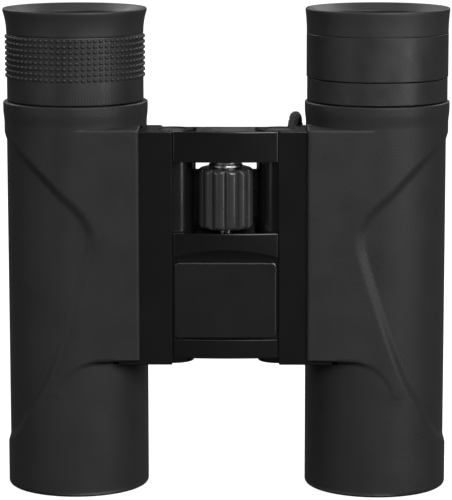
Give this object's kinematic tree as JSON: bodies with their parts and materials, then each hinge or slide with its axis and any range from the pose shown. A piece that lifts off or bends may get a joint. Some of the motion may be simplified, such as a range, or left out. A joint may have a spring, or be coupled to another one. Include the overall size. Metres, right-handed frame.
{
  "type": "binoculars",
  "caption": "Folding pocket binoculars: two rubber-armoured barrels hinged to a central bridge with a focus wheel that drives the objectives.",
  "frame": {"origin": "middle of the object's footprint, on the surface that its objective rims stand on", "axes": "+Z from the objectives to the eyepieces, -Y towards the focus wheel's side, +X towards the user's left barrel"},
  "size_m": [0.1014, 0.033, 0.11],
  "materials": {
    "armour_rubber": "matte, fine-grained rubber",
    "eyecup_rubber": "soft matte rubber",
    "ring_rubber": "satin rubber",
    "satin_black": "satin black paint",
    "gloss_black": "smooth gloss black",
    "plate_black": "gloss black lacquer",
    "wheel_grey": "satin dark grey",
    "aluminium": "turned",
    "black_metal": "black anodised",
    "brass": "turned",
    "steel": "turned",
    "cord": "round braid",
    "coated_glass": "coated optical glass",
    "prism_glass": "ground and polished glass"
  },
  "bodies": {
    "bridge": {"bridge_frame": "satin_black", "upper_cover": "gloss_black", "lower_cover": "gloss_black", "name_plate": "plate_black", "upper_wheel_bush": "brass", "lower_wheel_bush": "brass", "cover_screw_1": "steel", "cover_screw_2": "steel", "cover_screw_3": "steel", "right_upper_hinge_pin": "steel", "right_lower_hinge_pin": "steel", "left_upper_hinge_pin": "steel", "left_lower_hinge_pin": "steel"},
    "focus_wheel": {"focus_wheel": "wheel_grey", "wheel_hub": "aluminium", "focus_spindle": "steel"},
    "focus_slider": {"focus_yoke": "brass", "right_yoke_pin": "steel", "left_yoke_pin": "steel"},
    "right_barrel": {"right_barrel_housing": "satin_black", "right_armour": "armour_rubber", "right_strap_lug": "black_metal", "right_prism_cage": "black_metal", "right_half_penta_prism": "prism_glass", "right_roof_prism": "prism_glass", "right_field_stop": "black_metal"},
    "right_objective": {"right_objective_cell": "black_metal", "right_objective_crown": "coated_glass", "right_objective_flint": "coated_glass", "right_objective_ring": "black_metal", "right_focus_arm": "steel"},
    "right_eyecup": {"right_eyecup": "eyecup_rubber"},
    "left_barrel": {"left_barrel_housing": "satin_black", "left_armour": "armour_rubber", "left_strap_lug": "black_metal", "left_prism_cage": "black_metal", "left_half_penta_prism": "prism_glass", "left_roof_prism": "prism_glass", "left_field_stop": "black_metal", "left_eyepiece_tube": "black_metal", "left_field_lens": "coated_glass", "left_eye_lens": "coated_glass", "eyepiece_collar": "satin_black", "eyepiece_ring": "ring_rubber", "strap_loop": "cord", "loop_ferrule": "black_metal"},
    "left_objective": {"left_objective_cell": "black_metal", "left_objective_crown": "coated_glass", "left_objective_flint": "coated_glass", "left_objective_ring": "black_metal", "left_focus_arm": "steel"},
    "left_eyecup": {"left_eyecup": "eyecup_rubber"},
    "diopter_ring": {"diopter_ring": "ring_rubber"},
    "right_eyepiece": {"right_eyepiece_tube": "black_metal", "right_field_lens": "coated_glass", "right_eye_lens": "coated_glass"}
  },
  "joints": [
    {"name": "right_fold", "type": "hinge", "parent": "bridge", "child": "right_barrel", "pos_m": [-0.012, -0.0086, 0.057], "axis": [0, 0, -1], "range_deg": [0, 53]},
    {"name": "left_fold", "type": "hinge", "parent": "bridge", "child": "left_barrel", "pos_m": [0.012, -0.0086, 0.057], "axis": [0, 0, 1], "range_deg": [0, 53]},
    {"name": "focus_turn", "type": "hinge", "parent": "bridge", "child": "focus_wheel", "pos_m": [0, -0.0094, 0.068], "axis": [0, 0, 1], "range_deg": [-225, 225]},
    {"name": "yoke_travel", "type": "slide", "parent": "bridge", "child": "focus_slider", "axis": [0, 0, 1], "range_m": [-0.0015, 0.0015]},
    {"name": "right_focus", "type": "slide", "parent": "right_barrel", "child": "right_objective", "axis": [0, 0, 1], "range_m": [-0.0015, 0.0015]},
    {"name": "left_focus", "type": "slide", "parent": "left_barrel", "child": "left_objective", "axis": [0, 0, 1], "range_m": [-0.0015, 0.0015]},
    {"name": "diopter_turn", "type": "hinge", "parent": "right_barrel", "child": "diopter_ring", "pos_m": [-0.0343, 0, 0.097], "axis": [0, 0, 1], "range_deg": [-45, 45]},
    {"name": "diopter_travel", "type": "slide", "parent": "right_barrel", "child": "right_eyepiece", "axis": [0, 0, 1], "range_m": [-0.00098, 0.00098]},
    {"name": "right_eyecup_fold", "type": "slide", "parent": "diopter_ring", "child": "right_eyecup", "axis": [0, 0, -1], "range_m": [0, 0.0036], "deforming": ["right_eyecup"]},
    {"name": "left_eyecup_fold", "type": "slide", "parent": "left_barrel", "child": "left_eyecup", "axis": [0, 0, -1], "range_m": [0, 0.0036], "deforming": ["left_eyecup"]}
  ],
  "couplings": [
    {"joint": "focus_turn", "follows": "yoke_travel", "rad_per_m": 2600},
    {"joint": "right_focus", "follows": "yoke_travel", "ratio": 1},
    {"joint": "left_focus", "follows": "yoke_travel", "ratio": 1},
    {"joint": "diopter_turn", "follows": "diopter_travel", "rad_per_m": 800}
  ]
}
